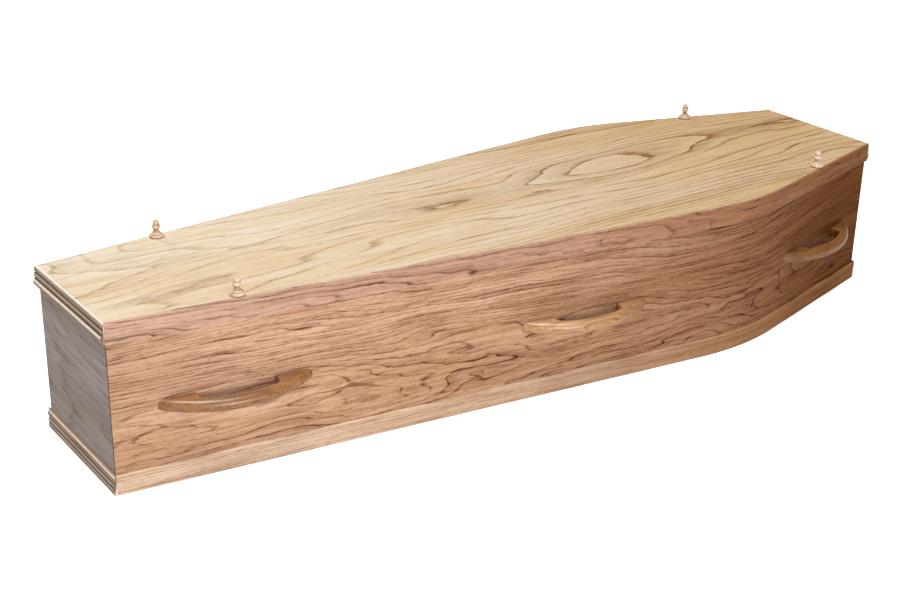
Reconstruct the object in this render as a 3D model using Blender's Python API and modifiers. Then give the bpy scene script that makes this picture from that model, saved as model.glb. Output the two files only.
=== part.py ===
"""Wooden coffin with a flat lift-off lid, bent shoulders, six bow handles and four turned finials.

Units are metres. +X runs towards the head, +Z is up, and the underside of the box lies on z = 0.
"Left" is the -Y side and "right" is the +Y side, as for someone lying face up inside.
"""
import math

import bmesh
import bpy
from mathutils import Matrix, Vector

# Box: the outer faces of the panels
BOX_LENGTH = 1.900
FOOT_HALF_WIDTH = 0.151
HEAD_HALF_WIDTH = 0.160
# The two straight runs of a side would cross at this point if the shoulder were not bent
SHOULDER_X = 0.447
SHOULDER_HALF_WIDTH = 0.306
SHOULDER_RADIUS = 0.580
SHOULDER_SEGMENTS = 16
# From the ground to the top of the lid
FULL_HEIGHT = 0.338
BOARD_THICKNESS = 0.018

# Fits
GLUE_GAP = 0.0003
MITRE_SLACK = 0.00045

# Flat strips bent round the long sides
BASE_STRIP_HEIGHT = 0.040
BASE_STRIP_THICKNESS = 0.0050
LID_STRIP_HEIGHT = 0.043
LID_STRIP_THICKNESS = 0.0040
STRIP_EASE = 0.0030
STRIP_EASE_SEGMENTS = 3

# Moulding across the ends: a small bead, a middle bead and a large nosed bead
MOULDING_HEIGHT = 0.043
SMALL_BEAD_HEIGHT = 0.0118
MIDDLE_BEAD_HEIGHT = 0.0094
GROOVE_WIDTH = 0.0010
GROOVE_DEPTH = 0.0026
NOSE_RISE = 0.0090
# Below 1 keeps the roll of the large bead full near its front
ROLL_FULLNESS = 0.8
BEAD_SEGMENTS = 6
# How far the small, the middle and the large bead stand out of the back of the stock
BASE_BEAD_REACHES = (0.0057, 0.0056, 0.0054)
LID_BEAD_REACHES = (0.0052, 0.0064, 0.0090)
# From the face of the end panels to the end of the lid board
LID_END_OVERHANG = 0.0010

# Bow handles: a crescent board with a finger gap behind the grip
HANDLE_SPAN = 0.298
HANDLE_REACH = 0.0595
HANDLE_THICKNESS = 0.0250
HANDLE_CENTRE_Z = 0.1575
HANDLE_GRIP_DEPTH = 0.0200
FINGER_GAP_SPAN = 0.152
FINGER_GAP_CORNER = 0.016
HANDLE_NOSE_EASE = 0.0095
HANDLE_GAP_EASE = 0.0030
HANDLE_ARC_SEGMENTS = 22
GAP_ARC_SEGMENTS = 12
GAP_CORNER_SEGMENTS = 4
NOSE_EASE_SEGMENTS = 3
GAP_EASE_SEGMENTS = 1
# Length of stock behind the panel face that is trimmed away
HANDLE_TRIM = 0.020
# Centres of the three handles of a side: two measured from the ends of the box, one from the shoulder point
FOOT_HANDLE_FROM_END = 0.233
WAIST_HANDLE_BEFORE_SHOULDER = 0.419
HEAD_HANDLE_FROM_END = 0.216

# Turned finials near the corners of the lid
FINIAL_HEIGHT = 0.0362
FINIAL_DISC_RADIUS = 0.0146
FINIAL_DISC_HEIGHT = 0.0064
FINIAL_UNDERCUT = 0.0015
FINIAL_CONE_RADIUS = 0.0110
FINIAL_CONE_TOP = 0.0140
# Above 1 hollows the side of the cone
FINIAL_CONE_HOLLOW = 1.6
FINIAL_NECK_RADIUS = 0.0056
FINIAL_COLLAR_RADIUS = 0.0088
FINIAL_COLLAR_BOTTOM = 0.0190
FINIAL_COLLAR_HEIGHT = 0.0052
FINIAL_DOME_ROOT_RADIUS = 0.0062
FINIAL_DOME_RADIUS = 0.0067
FINIAL_DOME_SPRING = 0.0268
FINIAL_STEPS = 20
# Angles in degrees at which the round parts of the section are sampled
FINIAL_DOME_ANGLES = (25, 50, 70, 90)
FINIAL_COLLAR_ANGLES = (90, 40, 0, -40, -90)
FINIAL_RIM_ANGLES = (75, 35, 0, -40)
FINIAL_CONE_SHARES = (0.0, 0.4, 0.75, 1.0)
# From the ends of the box to the centres of the finials
FOOT_FINIAL_FROM_END = 0.2453
HEAD_FINIAL_FROM_END = 0.2271
# From the panel face to the centre of a finial
FOOT_FINIAL_INSET = 0.0110
HEAD_FINIAL_INSET = 0.0100

# Derived sizes
HALF_LENGTH = BOX_LENGTH / 2
PANEL_TOP = FULL_HEIGHT - BOARD_THICKNESS - GLUE_GAP
LID_UNDERSIDE = FULL_HEIGHT - BOARD_THICKNESS
HANDLE_CENTRES = (
    ("foot", FOOT_HANDLE_FROM_END - HALF_LENGTH),
    ("waist", SHOULDER_X - WAIST_HANDLE_BEFORE_SHOULDER),
    ("head", HALF_LENGTH - HEAD_HANDLE_FROM_END),
)
FINIAL_SEATS = (
    ("foot", FOOT_FINIAL_FROM_END - HALF_LENGTH, FOOT_FINIAL_INSET),
    ("head", HALF_LENGTH - HEAD_FINIAL_FROM_END, HEAD_FINIAL_INSET),
)

# Colour and roughness of each finish
FINISHES = {
    "lid_oak": ((0.62, 0.47, 0.31), 0.55),
    "side_oak": ((0.40, 0.22, 0.12), 0.55),
    "end_oak": ((0.30, 0.22, 0.17), 0.60),
    "lid_strip_oak": ((0.44, 0.24, 0.14), 0.50),
    "base_strip_oak": ((0.55, 0.36, 0.22), 0.50),
    "moulding_oak": ((0.38, 0.26, 0.17), 0.50),
    "handle_oak": ((0.42, 0.25, 0.10), 0.40),
    "finial_wood": ((0.72, 0.52, 0.37), 0.45),
    "floor_board": ((0.50, 0.38, 0.26), 0.70),
}


def clear_file():
    """Start from an empty file."""
    for old in list(bpy.data.objects):
        bpy.data.objects.remove(old, do_unlink=True)


def make_finish(name):
    """A plain Principled material for one finish."""
    colour, roughness = FINISHES[name]
    finish = bpy.data.materials.new(name)
    finish.use_nodes = True
    shader = finish.node_tree.nodes["Principled BSDF"]
    shader.inputs["Base Color"].default_value = (*colour, 1.0)
    shader.inputs["Roughness"].default_value = roughness
    shader.inputs["Metallic"].default_value = 0.0
    return finish


def add_object(name, mesh, finish, location=(0, 0, 0), turn=0.0):
    """Put one finished piece into the coffin collection."""
    piece = bpy.data.objects.new(name, mesh)
    mesh.name = name
    mesh.materials.clear()
    mesh.materials.append(finish)
    piece.location = location
    piece.rotation_euler = (0, 0, turn)
    coffin.objects.link(piece)
    return piece


def side_line(out, end_out):
    """Plan of the left side from foot to head, moved `out` of the box, with its ends `end_out` past the box."""
    foot = Vector((-HALF_LENGTH, -FOOT_HALF_WIDTH))
    shoulder = Vector((SHOULDER_X, -SHOULDER_HALF_WIDTH))
    head = Vector((HALF_LENGTH, -HEAD_HALF_WIDTH))
    foot_run = (shoulder - foot).normalized()
    head_run = (head - shoulder).normalized()
    foot_normal = Vector((foot_run.y, -foot_run.x))
    head_normal = Vector((head_run.y, -head_run.x))
    bend = foot_run.angle(head_run)
    tangent = SHOULDER_RADIUS * math.tan(bend / 2)
    centre = shoulder - foot_run * tangent - foot_normal * SHOULDER_RADIUS
    start_angle = math.atan2(foot_normal.y, foot_normal.x)
    radius = SHOULDER_RADIUS + out

    def on_run(corner, run, normal, x):
        start = corner + normal * out
        return start + run * ((x - start.x) / run.x)

    points = [on_run(foot, foot_run, foot_normal, -HALF_LENGTH - end_out)]
    for step in range(SHOULDER_SEGMENTS + 1):
        angle = start_angle + bend * step / SHOULDER_SEGMENTS
        points.append(centre + radius * Vector((math.cos(angle), math.sin(angle))))
    points.append(on_run(head, head_run, head_normal, HALF_LENGTH + end_out))
    return points


def mirrored(points):
    """The same plan on the right side."""
    return [Vector((point.x, -point.y)) for point in points]


def run_frame(x):
    """Point on the left panel face at x, and the angle of the straight run it lies on."""
    if x < SHOULDER_X:
        start = Vector((-HALF_LENGTH, -FOOT_HALF_WIDTH))
        end = Vector((SHOULDER_X, -SHOULDER_HALF_WIDTH))
    else:
        start = Vector((SHOULDER_X, -SHOULDER_HALF_WIDTH))
        end = Vector((HALF_LENGTH, -HEAD_HALF_WIDTH))
    run = (end - start).normalized()
    point = start + run * ((x - start.x) / run.x)
    return point, math.atan2(run.y, run.x)


def plate_mesh(outline, bottom, top):
    """Solid board with the given plan between two heights."""
    curve = bpy.data.curves.new("plan", "CURVE")
    curve.dimensions = "2D"
    curve.fill_mode = "BOTH"
    curve.extrude = (top - bottom) / 2
    spline = curve.splines.new("POLY")
    spline.points.add(len(outline) - 1)
    for slot, point in zip(spline.points, outline):
        slot.co = (point.x, point.y, 0, 1)
    spline.use_cyclic_u = True
    holder = bpy.data.objects.new("plan", curve)
    bpy.context.scene.collection.objects.link(holder)
    bpy.context.view_layer.update()
    shape = holder.evaluated_get(bpy.context.evaluated_depsgraph_get())
    mesh = bpy.data.meshes.new_from_object(shape)
    bpy.data.objects.remove(holder, do_unlink=True)
    bpy.data.curves.remove(curve)
    work = bmesh.new()
    work.from_mesh(mesh)
    bmesh.ops.remove_doubles(work, verts=work.verts, dist=1e-6)
    bmesh.ops.dissolve_limit(work, angle_limit=math.radians(0.05), verts=work.verts, edges=work.edges)
    bmesh.ops.translate(work, verts=work.verts, vec=(0, 0, (top + bottom) / 2))
    bmesh.ops.recalc_face_normals(work, faces=work.faces)
    work.to_mesh(mesh)
    work.free()
    return mesh


def ease_edges(mesh, chosen, width, segments):
    """Round over the edges for which chosen(edge) is true."""
    work = bmesh.new()
    work.from_mesh(mesh)
    edges = [edge for edge in work.edges if chosen(edge)]
    bmesh.ops.bevel(
        work, geom=edges, offset=width, offset_type="OFFSET", segments=segments,
        profile=0.5, affect="EDGES", clamp_overlap=True,
    )
    bmesh.ops.recalc_face_normals(work, faces=work.faces)
    work.to_mesh(mesh)
    work.free()


def trim(mesh, point, normal):
    """Cut away what lies on the normal's side of a plane and close the cut."""
    work = bmesh.new()
    work.from_mesh(mesh)
    cut = bmesh.ops.bisect_plane(
        work, geom=list(work.verts) + list(work.edges) + list(work.faces),
        dist=1e-7, plane_co=point, plane_no=normal, clear_outer=True,
    )
    rim = [item for item in cut["geom_cut"] if isinstance(item, bmesh.types.BMEdge)]
    bmesh.ops.edgenet_fill(work, edges=rim)
    bmesh.ops.recalc_face_normals(work, faces=work.faces)
    work.to_mesh(mesh)
    work.free()


def soften(mesh, angle=35):
    """Shade the curved faces smooth and keep the real arrises crisp."""
    mesh.shade_smooth()
    mesh.set_sharp_from_angle(angle=math.radians(angle))


def build_boards():
    """Floor, lid board, bent side panels and mitred end panels."""
    inset = -BOARD_THICKNESS - GLUE_GAP
    left = side_line(inset, inset)
    add_object("base_board", plate_mesh(left + mirrored(left)[::-1], 0, BOARD_THICKNESS),
               finishes["floor_board"])

    left = side_line(0, LID_END_OVERHANG)
    add_object("lid_board", plate_mesh(left + mirrored(left)[::-1], LID_UNDERSIDE, FULL_HEIGHT),
               finishes["lid_oak"])

    outer = side_line(0, 0)
    inner = side_line(-BOARD_THICKNESS, -BOARD_THICKNESS)
    panel = outer + inner[::-1]
    for name, plan in (("side_panel_left", panel), ("side_panel_right", mirrored(panel))):
        mesh = plate_mesh(plan, 0, PANEL_TOP)
        soften(mesh)
        add_object(name, mesh, finishes["side_oak"])

    for name, index in (("foot_panel", 0), ("head_panel", -1)):
        corners = []
        for corner in (outer[index], inner[index]):
            corners.append(Vector((corner.x, corner.y + MITRE_SLACK)))
        plan = corners + mirrored(corners)[::-1]
        add_object(name, plate_mesh(plan, 0, PANEL_TOP), finishes["end_oak"])


def build_strips():
    """Flat strips along the sides, bent round the shoulders, with an eased top edge."""
    layout = (
        ("base_strip", BASE_STRIP_THICKNESS, 0, 0, BASE_STRIP_HEIGHT, "base_strip_oak"),
        ("lid_strip", LID_STRIP_THICKNESS, LID_END_OVERHANG,
         FULL_HEIGHT - LID_STRIP_HEIGHT, FULL_HEIGHT, "lid_strip_oak"),
    )
    for name, thickness, end_out, bottom, top, finish in layout:
        outer = side_line(thickness, end_out)
        inner = side_line(GLUE_GAP, end_out)
        strip = outer + inner[::-1]
        for side, plan in (("left", strip), ("right", mirrored(strip))):
            mesh = plate_mesh(plan, bottom, top)
            rim = {(round(abs(point.x), 5), round(abs(point.y), 5)) for point in outer}

            def outer_top(edge):
                return all(
                    abs(vert.co.z - top) < 1e-5
                    and (round(abs(vert.co.x), 5), round(abs(vert.co.y), 5)) in rim
                    for vert in edge.verts
                )

            ease_edges(mesh, outer_top, STRIP_EASE, STRIP_EASE_SEGMENTS)
            soften(mesh)
            add_object(f"{name}_{side}", mesh, finishes[finish])


def bead(start, height, reach, lower_root, upper_root):
    """Rounded bead on the moulding: (projection, level) points from start to start + height."""
    points = []
    for step in range(BEAD_SEGMENTS + 1):
        angle = math.pi * (step / BEAD_SEGMENTS - 0.5)
        level = start + height * (1 + math.sin(angle)) / 2
        root = lower_root if angle < 0 else upper_root
        points.append(Vector((root + (reach - root) * math.cos(angle), level)))
    return points


def moulding_profile(reaches):
    """Section of an end moulding: projection and level above the flat edge of the stock."""
    small_reach, middle_reach, nose_reach = reaches
    first_groove = min(small_reach, middle_reach) - GROOVE_DEPTH
    second_groove = min(middle_reach, nose_reach) - GROOVE_DEPTH
    points = [Vector((0, 0))]
    points += bead(0, SMALL_BEAD_HEIGHT, small_reach, small_reach - GROOVE_DEPTH, first_groove)
    middle = SMALL_BEAD_HEIGHT + GROOVE_WIDTH
    points += bead(middle, MIDDLE_BEAD_HEIGHT, middle_reach, first_groove, second_groove)
    nose = middle + MIDDLE_BEAD_HEIGHT + GROOVE_WIDTH
    for step in range(BEAD_SEGMENTS + 1):
        angle = math.pi / 2 * step / BEAD_SEGMENTS
        points.append(Vector((
            second_groove + (nose_reach - second_groove) * math.sin(angle),
            nose + NOSE_RISE * (1 - math.cos(angle)),
        )))
    # The large bead rolls over and falls back to the face of the panel
    roll_start = nose + NOSE_RISE
    for step in range(1, BEAD_SEGMENTS + 1):
        share = step / BEAD_SEGMENTS
        points.append(Vector((
            nose_reach * max(math.cos(share * math.pi / 2), 0.0) ** ROLL_FULLNESS,
            roll_start + (MOULDING_HEIGHT - roll_start) * share,
        )))
    return points


def build_end_mouldings():
    """Beaded mouldings across the foot and the head; the lid pair has its flat edge upwards."""
    layout = (
        ("base_moulding", BASE_STRIP_THICKNESS, 0, 0, 1, BASE_BEAD_REACHES),
        ("lid_moulding", LID_STRIP_THICKNESS, LID_END_OVERHANG, FULL_HEIGHT, -1, LID_BEAD_REACHES),
    )
    for name, strip_thickness, end_out, flat_edge, up, reaches in layout:
        profile = [Vector((point.x, point.y * up)) for point in moulding_profile(reaches)]
        for end, direction in (("foot", -1), ("head", 1)):
            half_length = SHOULDER_HALF_WIDTH
            mesh = plate_mesh(profile, -half_length, half_length)
            # Stand the section up: its projection runs out of the box and its length runs across
            across = Vector((0, 1, 0))
            outward = Vector((direction, 0, 0))
            stand = Matrix((outward, Vector((0, 0, 1)), across)).transposed().to_4x4()
            origin = Vector((direction * (HALF_LENGTH + end_out + GLUE_GAP), 0, flat_edge))
            mesh.transform(Matrix.Translation(origin) @ stand)
            if stand.determinant() < 0:
                mesh.flip_normals()
            # Its cut ends lie flush with the outer faces of the side strips
            line = side_line(strip_thickness, 0)
            near, far = (line[0], line[1]) if direction < 0 else (line[-2], line[-1])
            run = (far - near).normalized()
            for side in (1, -1):
                point = Vector((near.x, near.y * side, 0))
                normal = Vector((run.y, -run.x * side, 0))
                trim(mesh, point, normal)
            soften(mesh, 40)
            add_object(f"{name}_{end}", mesh, finishes["moulding_oak"])


def handle_plan():
    """Plan of a bow handle: X along the panel, -Y away from it, with stock to trim behind the panel face."""
    half_span = HANDLE_SPAN / 2
    outer_radius = (half_span ** 2 + HANDLE_REACH ** 2) / (2 * HANDLE_REACH)
    centre_y = outer_radius - HANDLE_REACH
    sweep = math.acos((centre_y - HANDLE_TRIM) / outer_radius)
    points = []
    for step in range(HANDLE_ARC_SEGMENTS + 1):
        angle = sweep * (2 * step / HANDLE_ARC_SEGMENTS - 1)
        points.append(Vector((outer_radius * math.sin(angle), centre_y - outer_radius * math.cos(angle))))

    # Finger gap: an arc parallel to the front, rounded corners, and straight cheeks square to the panel
    inner_radius = outer_radius - HANDLE_GRIP_DEPTH
    half_gap = FINGER_GAP_SPAN / 2
    corner_x = half_gap - FINGER_GAP_CORNER
    reach_to_corner = inner_radius - FINGER_GAP_CORNER
    corner_angle = math.asin(corner_x / reach_to_corner)
    corner_y = centre_y - reach_to_corner * math.cos(corner_angle)
    right_half = [Vector((half_gap, HANDLE_TRIM))]
    for step in range(GAP_CORNER_SEGMENTS + 1):
        angle = math.pi / 2 - (math.pi / 2 - corner_angle) * step / GAP_CORNER_SEGMENTS
        right_half.append(Vector((
            corner_x + FINGER_GAP_CORNER * math.sin(angle),
            corner_y - FINGER_GAP_CORNER * math.cos(angle),
        )))
    points += right_half
    for step in range(1, GAP_ARC_SEGMENTS):
        angle = corner_angle * (1 - 2 * step / GAP_ARC_SEGMENTS)
        points.append(Vector((inner_radius * math.sin(angle), centre_y - inner_radius * math.cos(angle))))
    points += [Vector((-point.x, point.y)) for point in reversed(right_half)]
    return points, Vector((0, centre_y)), outer_radius


def handle_mesh():
    """One bow handle with a full nose in front and a lightly eased finger gap."""
    plan, centre, outer_radius = handle_plan()
    half = HANDLE_THICKNESS / 2
    mesh = plate_mesh(plan, -half, half)

    def level(edge):
        return abs(edge.verts[0].co.z - edge.verts[1].co.z) < 1e-6

    def on_front(vert):
        return abs(math.hypot(vert.co.x - centre.x, vert.co.y - centre.y) - outer_radius) < 1e-4

    def front(edge):
        return level(edge) and all(on_front(vert) for vert in edge.verts)

    def behind(edge):
        return all(abs(vert.co.y - HANDLE_TRIM) < 1e-5 for vert in edge.verts)

    def gap_edge(edge):
        return (
            level(edge) and not behind(edge)
            and all(abs(abs(vert.co.z) - half) < 1e-6 for vert in edge.verts)
            and all(abs(vert.co.x) < FINGER_GAP_SPAN / 2 + 1e-5 for vert in edge.verts)
            and not any(on_front(vert) for vert in edge.verts)
        )

    ease_edges(mesh, gap_edge, HANDLE_GAP_EASE, GAP_EASE_SEGMENTS)
    ease_edges(mesh, front, HANDLE_NOSE_EASE, NOSE_EASE_SEGMENTS)
    trim(mesh, Vector((0, 0, 0)), Vector((0, 1, 0)))
    soften(mesh, 40)
    return mesh


def build_handles():
    """Three handles on each side, each flat against its straight run of panel."""
    pattern = handle_mesh()
    for place, x in HANDLE_CENTRES:
        point, angle = run_frame(x)
        outward = Vector((math.sin(angle), -math.cos(angle)))
        seat = point + outward * GLUE_GAP
        add_object(f"handle_{place}_left", pattern.copy(), finishes["handle_oak"],
                   (seat.x, seat.y, HANDLE_CENTRE_Z), angle)
        add_object(f"handle_{place}_right", pattern.copy(), finishes["handle_oak"],
                   (seat.x, -seat.y, HANDLE_CENTRE_Z), math.pi - angle)
    bpy.data.meshes.remove(pattern)


def finial_profile():
    """Radius and height of the turned finial, from the top of the dome down to the foot."""
    points = [(0.0, FINIAL_HEIGHT)]
    dome_rise = FINIAL_HEIGHT - FINIAL_DOME_SPRING
    for angle in FINIAL_DOME_ANGLES:
        turn = math.radians(angle)
        points.append((FINIAL_DOME_RADIUS * math.sin(turn), FINIAL_DOME_SPRING + dome_rise * math.cos(turn)))
    collar_top = FINIAL_COLLAR_BOTTOM + FINIAL_COLLAR_HEIGHT
    collar_root = (FINIAL_COLLAR_RADIUS + FINIAL_NECK_RADIUS) / 2
    points.append((FINIAL_DOME_ROOT_RADIUS, (collar_top + FINIAL_DOME_SPRING) / 2))
    for angle in FINIAL_COLLAR_ANGLES:
        turn = math.radians(angle)
        points.append((
            collar_root + (FINIAL_COLLAR_RADIUS - collar_root) * math.cos(turn),
            FINIAL_COLLAR_BOTTOM + FINIAL_COLLAR_HEIGHT * (1 + math.sin(turn)) / 2,
        ))
    points.append((FINIAL_NECK_RADIUS, (FINIAL_COLLAR_BOTTOM + FINIAL_CONE_TOP) / 2))
    # The cone spreads in a hollow curve from the neck to its foot
    for share in FINIAL_CONE_SHARES:
        points.append((
            FINIAL_NECK_RADIUS + (FINIAL_CONE_RADIUS - FINIAL_NECK_RADIUS) * share ** FINIAL_CONE_HOLLOW,
            FINIAL_CONE_TOP + (FINIAL_DISC_HEIGHT + FINIAL_UNDERCUT / 2 - FINIAL_CONE_TOP) * share,
        ))
    # The disc: a step under the cone, a rounded rim, and an undercut foot
    points.append((FINIAL_CONE_RADIUS - FINIAL_UNDERCUT / 2, FINIAL_DISC_HEIGHT))
    rim = FINIAL_DISC_HEIGHT / 2
    rim_root = FINIAL_DISC_RADIUS - rim / 2
    for angle in FINIAL_RIM_ANGLES:
        turn = math.radians(angle)
        points.append((rim_root + (FINIAL_DISC_RADIUS - rim_root) * math.cos(turn), rim * (1 + math.sin(turn))))
    points.append((rim_root - FINIAL_UNDERCUT, 0.0))
    points.append((0.0, 0.0))
    return points


def build_finials():
    """Four finials standing on the lid near its corners."""
    profile = finial_profile()
    for end, x, inset in FINIAL_SEATS:
        face, angle = run_frame(x)
        inward = Vector((-math.sin(angle), math.cos(angle)))
        seat = face + inward * inset
        for side, y in (("left", seat.y), ("right", -seat.y)):
            mesh = bpy.data.meshes.new("finial")
            work = bmesh.new()
            verts = [work.verts.new((radius, 0, height)) for radius, height in profile]
            for upper, lower in zip(verts, verts[1:]):
                work.edges.new((upper, lower))
            work.to_mesh(mesh)
            work.free()
            finial = add_object(f"finial_{end}_{side}", mesh, finishes["finial_wood"],
                                (seat.x, y, FULL_HEIGHT + GLUE_GAP))
            turn = finial.modifiers.new("turning", "SCREW")
            turn.axis = "Z"
            turn.steps = FINIAL_STEPS
            turn.render_steps = FINIAL_STEPS
            turn.use_merge_vertices = True
            turn.merge_threshold = 0.00005
            turn.use_smooth_shade = True


clear_file()
coffin = bpy.data.collections.new("wooden_coffin")
bpy.context.scene.collection.children.link(coffin)
finishes = {name: make_finish(name) for name in FINISHES}
build_boards()
build_strips()
build_end_mouldings()
build_handles()
build_finials()
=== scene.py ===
# %% [markdown]
# # A wooden coffin, piece by piece
# The real object is a box of oak boards with tapered sides, a bent shoulder and a flat lid that lifts off.
# Its solids already exist, packed as a frame in metres: +X runs to the head, -Y is the near side, +Z is up.
# This lesson dresses them. Each step says what the piece or finish is, how it could be made, and why one way
# won.

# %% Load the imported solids
import math

import bmesh
import bpy
from mathutils import Matrix, Vector


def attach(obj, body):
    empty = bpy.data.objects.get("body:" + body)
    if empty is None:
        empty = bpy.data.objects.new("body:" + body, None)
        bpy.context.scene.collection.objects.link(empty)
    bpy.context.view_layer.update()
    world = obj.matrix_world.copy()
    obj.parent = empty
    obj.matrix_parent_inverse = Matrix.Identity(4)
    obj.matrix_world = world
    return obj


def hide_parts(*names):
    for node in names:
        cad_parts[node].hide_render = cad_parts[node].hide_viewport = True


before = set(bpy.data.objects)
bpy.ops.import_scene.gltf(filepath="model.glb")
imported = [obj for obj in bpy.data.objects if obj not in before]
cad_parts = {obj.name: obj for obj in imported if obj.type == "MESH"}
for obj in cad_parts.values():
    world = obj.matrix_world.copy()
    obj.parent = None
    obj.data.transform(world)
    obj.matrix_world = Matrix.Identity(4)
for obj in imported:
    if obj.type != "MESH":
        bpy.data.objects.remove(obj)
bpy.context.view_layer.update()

# %% [markdown]
# ## The camera
# The photograph looks down on the near side from the foot. Its edges run straight, so one plain camera with a
# long lens matches it. Guessing by eye is slow, so the place, turn and lens below come from lining up the
# edges of the box with the picture.

# %% Place the camera
CAMERA_PLACE = Vector((-1.8509, -2.4494, 1.4351))
CAMERA_TURN = math.radians(-35.192)
CAMERA_LIFT = math.radians(23.526)
CAMERA_ROLL = math.radians(1.076)
SENSOR_WIDTH = 36.0
LENS = 62.07


def add_object(name, data):
    """A new object in the scene."""
    added = bpy.data.objects.new(name, data)
    bpy.context.scene.collection.objects.link(added)
    return added


def place_camera():
    """A camera that looks back along its own +Z from the turn and lift, with a little roll."""
    back = Vector((
        math.sin(CAMERA_TURN) * math.cos(CAMERA_LIFT),
        -math.cos(CAMERA_TURN) * math.cos(CAMERA_LIFT),
        math.sin(CAMERA_LIFT),
    ))
    level = Vector((0, 0, 1)).cross(back).normalized()
    upright = back.cross(level)
    right = level * math.cos(CAMERA_ROLL) + upright * math.sin(CAMERA_ROLL)
    up = upright * math.cos(CAMERA_ROLL) - level * math.sin(CAMERA_ROLL)
    lens = bpy.data.cameras.new("photo_camera")
    lens.sensor_width = SENSOR_WIDTH
    lens.lens = LENS
    camera = add_object("photo_camera", lens)
    camera.matrix_world = Matrix.Translation(CAMERA_PLACE) @ Matrix((right, up, back)).transposed().to_4x4()
    bpy.context.scene.camera = camera
    return camera


camera = place_camera()
print("camera", [round(value, 3) for value in camera.matrix_world.translation], "lens", LENS)

# %% [markdown]
# ## Small helpers for nodes
# Shader groups and geometry trees are wired the same way: make a node, set what is fixed, link what flows. A
# few helpers keep the later cells short: one puts values or links into a node, five make the nodes that come
# up most, and one makes a new group. A Mix node holds sockets for every kind of data, so its colours go by
# number.

# %% Helpers for nodes
FLOAT = "NodeSocketFloat"
VECTOR = "NodeSocketVector"
SHAPE = "NodeSocketGeometry"
OBJECT = "NodeSocketObject"
FINISH = "NodeSocketMaterial"
MIX_SHARE, MIX_FIRST, MIX_SECOND, MIX_RESULT = 0, 6, 7, 2


def put(tree, kind, values=None, **settings):
    """Add a node, set its settings, and fill its inputs by name or number with a link or a plain value."""
    node = tree.nodes.new(kind)
    for setting, value in settings.items():
        setattr(node, setting, value)
    for slot, value in (values or {}).items():
        if isinstance(value, bpy.types.NodeSocket):
            tree.links.new(value, node.inputs[slot])
        else:
            node.inputs[slot].default_value = value
    return node


def sum_up(tree, operation, *values):
    """One arithmetic node, as a socket."""
    return put(tree, "ShaderNodeMath", dict(enumerate(values)), operation=operation).outputs[0]


def blend(tree, share, first, second, mode="MIX"):
    """Mix two colours by a share."""
    node = put(tree, "ShaderNodeMix", data_type="RGBA", blend_type=mode)
    for slot, value in ((MIX_SHARE, share), (MIX_FIRST, first), (MIX_SECOND, second)):
        if isinstance(value, bpy.types.NodeSocket):
            tree.links.new(value, node.inputs[slot])
        elif isinstance(value, tuple):
            node.inputs[slot].default_value = (*value, 1.0)
        else:
            node.inputs[slot].default_value = value
    return node.outputs[MIX_RESULT]


def soft_step(tree, value, start, end):
    """0 below start, 1 above end, and a soft slope between them."""
    node = put(tree, "ShaderNodeMapRange", {"Value": value, "From Min": start, "From Max": end},
               interpolation_type="SMOOTHSTEP")
    return node.outputs[0]


def noise(tree, place, size, detail, roughness, seed=None, distortion=0.0):
    """Noise outputs at a place, finer for a larger size, which is one number or one for each axis."""
    if isinstance(size, tuple):
        place = put(tree, "ShaderNodeVectorMath", {0: place, 1: size}, operation="MULTIPLY").outputs[0]
        size = 1.0
    values = {
        "Vector": place, "Scale": size, "Detail": detail, "Roughness": roughness, "Distortion": distortion,
    }
    if seed is None:
        return put(tree, "ShaderNodeTexNoise", values).outputs
    return put(tree, "ShaderNodeTexNoise", {**values, "W": seed}, noise_dimensions="4D").outputs


def sway(tree, value, by, reach):
    """A value moved by a noise, as far down as up."""
    return sum_up(tree, "MULTIPLY_ADD", sum_up(tree, "SUBTRACT", by, 0.5), reach, value)


def new_group(name, kind, takes, gives):
    """An empty node group with named sockets, and its entry and exit nodes."""
    tree = bpy.data.node_groups.new(name, kind)
    for label, socket_type, value in takes:
        socket = tree.interface.new_socket(name=label, in_out="INPUT", socket_type=socket_type)
        if value is not None:
            socket.default_value = value
    for label, socket_type in gives:
        tree.interface.new_socket(name=label, in_out="OUTPUT", socket_type=socket_type)
    return tree, tree.nodes.new("NodeGroupInput").outputs, tree.nodes.new("NodeGroupOutput").inputs


print("helpers ready for nodes, sums, blends, noise and groups")

# %% [markdown]
# ## Oak figure
# Oak is ring-porous: each year starts with a belt of large open pores, seen as a brown line, and fades into
# dense pale wood. A flat-cut board slices those rings at a shallow angle, which draws long arches and loops.
# A wave texture gives stripes that never close. So this group builds the log itself: rings round a heart that
# lies under the board, tilts along it and wanders, cut wherever the surface happens to be. A year counts from
# 0 to 1: its belt of pores comes first, and some years are dark all through.

# %% The oak figure as a group
SLOW_ACROSS = 4.5
RIPPLE_SCALE = 7.0
JAG_SIZE = (26.0, 150.0, 150.0)
JAG_REACH = 0.0011
PORE_SIZE = (60.0, 290.0, 310.0)
STREAK_SIZE = (7.0, 125.0, 125.0)
TONE_SIZE = (1.7, 13.0, 13.0)
PORE_BAND = (0.52, 0.62)
STREAK_BAND = (0.40, 0.66)
TONE_BAND = (0.30, 0.70)
BELT_START = 0.04
BELT_RISE = 0.95
FAINTEST_YEAR = 0.35
DARK_YEARS = (0.45, 0.9)
SHADE_START = 0.1
SHADE_STRENGTH = 0.38
LINE_BETWEEN_STREAKS = 0.74
LINE_GAIN_ON_STREAKS = 0.50


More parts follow.
